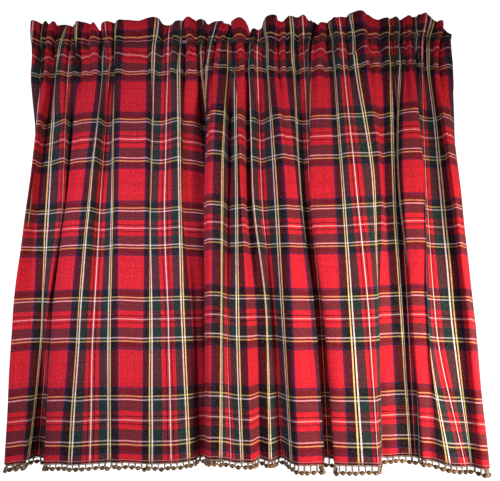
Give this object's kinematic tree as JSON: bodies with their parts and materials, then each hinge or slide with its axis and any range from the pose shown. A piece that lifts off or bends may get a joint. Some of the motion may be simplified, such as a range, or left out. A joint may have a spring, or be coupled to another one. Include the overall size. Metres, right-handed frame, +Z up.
{
  "type": "cafe curtain",
  "caption": "Gathered red tartan cafe curtain: a rod pocket with a ruffled frill above it, uneven hanging folds and a beaded braid along the hem.",
  "frame": {"origin": "middle of the top edge of the frill, on the line of the hidden rod from front to back", "axes": "+X to the right seen from the room, -Y towards the room, +Z up"},
  "size_m": [0.7123, 0.0647, 0.7089],
  "materials": {
    "tartan": "woven twill, red tartan with green, blue, black, white and yellow lines",
    "beads": "dark antique gold beads on cord loops, hung from a narrow braid"
  },
  "bodies": {
    "root": {"heading": "tartan", "panel": "tartan", "bead_trim": "beads"}
  },
  "joints": []
}
